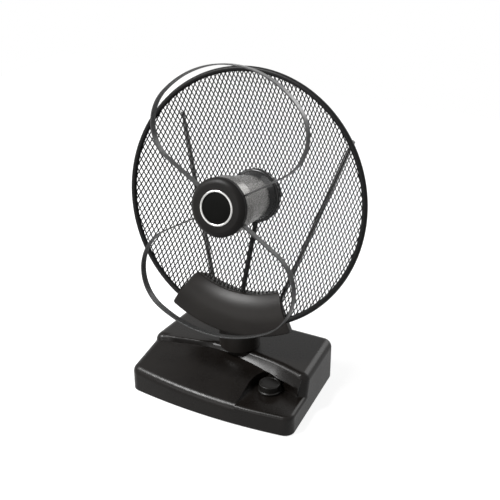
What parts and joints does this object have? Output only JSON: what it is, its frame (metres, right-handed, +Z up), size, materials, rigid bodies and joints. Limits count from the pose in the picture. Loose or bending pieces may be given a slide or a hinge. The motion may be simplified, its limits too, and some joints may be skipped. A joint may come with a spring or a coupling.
{
  "type": "indoor tv antenna",
  "caption": "Indoor television antenna: a round mesh reflector with a hub, two strip loops and telescopic rods, turning on an amplifier base with a gain knob.",
  "frame": {"origin": "on the surface that the feet stand on, below the middle of the whole object's box", "axes": "+X to the right as seen from the front, -Y to the front where the knob is, +Z up"},
  "size_m": [0.2452, 0.1316, 0.3272],
  "materials": {
    "base_plastic": "satin brown-black moulded plastic",
    "cover_plastic": "matt black moulded plastic",
    "foot_rubber": "matt black rubber",
    "screw_steel": "zinc plated",
    "ballast_steel": "plain pressed steel",
    "board": "green lacquer",
    "tinned_steel": "tinned",
    "knob_plastic": "satin black",
    "socket_nickel": "nickel plated",
    "head_plastic": "satin dark grey moulded plastic",
    "white_plastic": "natural slippery plastic",
    "black_coat": "black coated steel",
    "hub_black": "glossy black",
    "sleeve_grey": "silver grey lacquer",
    "collar_plastic": "satin charcoal",
    "ring_chrome": "bright chrome",
    "disc_black": "black",
    "loop_strip": "dark grey coated strip",
    "cable_rubber": "satin black sheath",
    "foot_brass": "nickel plated brass",
    "tube_chrome": "dark chrome plated brass tube"
  },
  "bodies": {
    "base": {"base_top_housing": "base_plastic", "base_bottom_cover": "cover_plastic", "rubber_feet": "foot_rubber", "cover_screws": "screw_steel", "ballast_plate": "ballast_steel", "amplifier_board": "board", "shield_can": "tinned_steel", "gain_potentiometer": "tinned_steel", "potentiometer_nut": "screw_steel", "aerial_socket": "socket_nickel", "power_inlet": "cover_plastic"},
    "knob": {"potentiometer_shaft": "tube_chrome", "gain_knob": "knob_plastic"},
    "head": {"head_rear_housing": "head_plastic", "swivel_washer": "white_plastic", "swivel_retaining_ring": "screw_steel", "head_front_cover": "head_plastic", "head_screws": "screw_steel", "reflector_rim": "black_coat", "reflector_mesh": "black_coat", "hub_back_cap": "hub_black", "hub_flange": "hub_black", "hub_screws": "screw_steel", "hub_sleeve": "sleeve_grey", "hub_board": "board", "hub_collar": "collar_plastic", "hub_chrome_ring": "ring_chrome", "hub_front_disc": "disc_black", "upper_loop": "loop_strip", "lower_loop": "loop_strip", "feed_cable": "cable_rubber", "cable_boot": "cable_rubber", "right_rod_pivot_screw": "screw_steel", "left_rod_pivot_screw": "screw_steel"},
    "right_rod": {"right_rod_foot": "foot_brass", "right_rod_outer_tube": "tube_chrome"},
    "right_rod_middle": {"right_rod_middle_tube": "tube_chrome"},
    "right_rod_upper": {"right_rod_upper_tube": "tube_chrome"},
    "right_rod_tip": {"right_rod_tip_section": "tube_chrome"},
    "left_rod": {"left_rod_foot": "foot_brass", "left_rod_outer_tube": "tube_chrome"},
    "left_rod_middle": {"left_rod_middle_tube": "tube_chrome"},
    "left_rod_upper": {"left_rod_upper_tube": "tube_chrome"},
    "left_rod_tip": {"left_rod_tip_section": "tube_chrome"}
  },
  "joints": [
    {"name": "head_swivel", "type": "hinge", "parent": "base", "child": "head", "pos_m": [0, 0.0065, 0.0428], "axis": [0, 0, 1], "range_deg": [-160, 160]},
    {"name": "gain_turn", "type": "hinge", "parent": "base", "child": "knob", "pos_m": [0.0494, -0.0256, 0.0214], "axis": [0, 0, 1], "range_deg": [-150, 150]},
    {"name": "right_rod_swing", "type": "hinge", "parent": "head", "child": "right_rod", "pos_m": [0.033, 0.01936, 0.08079], "axis": [0, -0.9753, 0.2209], "range_deg": [-72, 15]},
    {"name": "right_rod_slide_middle", "type": "slide", "parent": "right_rod", "child": "right_rod_middle", "axis": [0.304, 0.2104, 0.9291], "range_m": [0, 0.15]},
    {"name": "right_rod_slide_upper", "type": "slide", "parent": "right_rod_middle", "child": "right_rod_upper", "axis": [0.304, 0.2104, 0.9291], "range_m": [0, 0.15]},
    {"name": "right_rod_slide_tip", "type": "slide", "parent": "right_rod_upper", "child": "right_rod_tip", "axis": [0.304, 0.2104, 0.9291], "range_m": [0, 0.15]},
    {"name": "left_rod_swing", "type": "hinge", "parent": "head", "child": "left_rod", "pos_m": [-0.033, 0.01936, 0.08079], "axis": [0, -0.9753, 0.2209], "range_deg": [-15, 72]},
    {"name": "left_rod_slide_middle", "type": "slide", "parent": "left_rod", "child": "left_rod_middle", "axis": [-0.304, 0.2104, 0.9291], "range_m": [0, 0.15]},
    {"name": "left_rod_slide_upper", "type": "slide", "parent": "left_rod_middle", "child": "left_rod_upper", "axis": [-0.304, 0.2104, 0.9291], "range_m": [0, 0.15]},
    {"name": "left_rod_slide_tip", "type": "slide", "parent": "left_rod_upper", "child": "left_rod_tip", "axis": [-0.304, 0.2104, 0.9291], "range_m": [0, 0.15]}
  ]
}
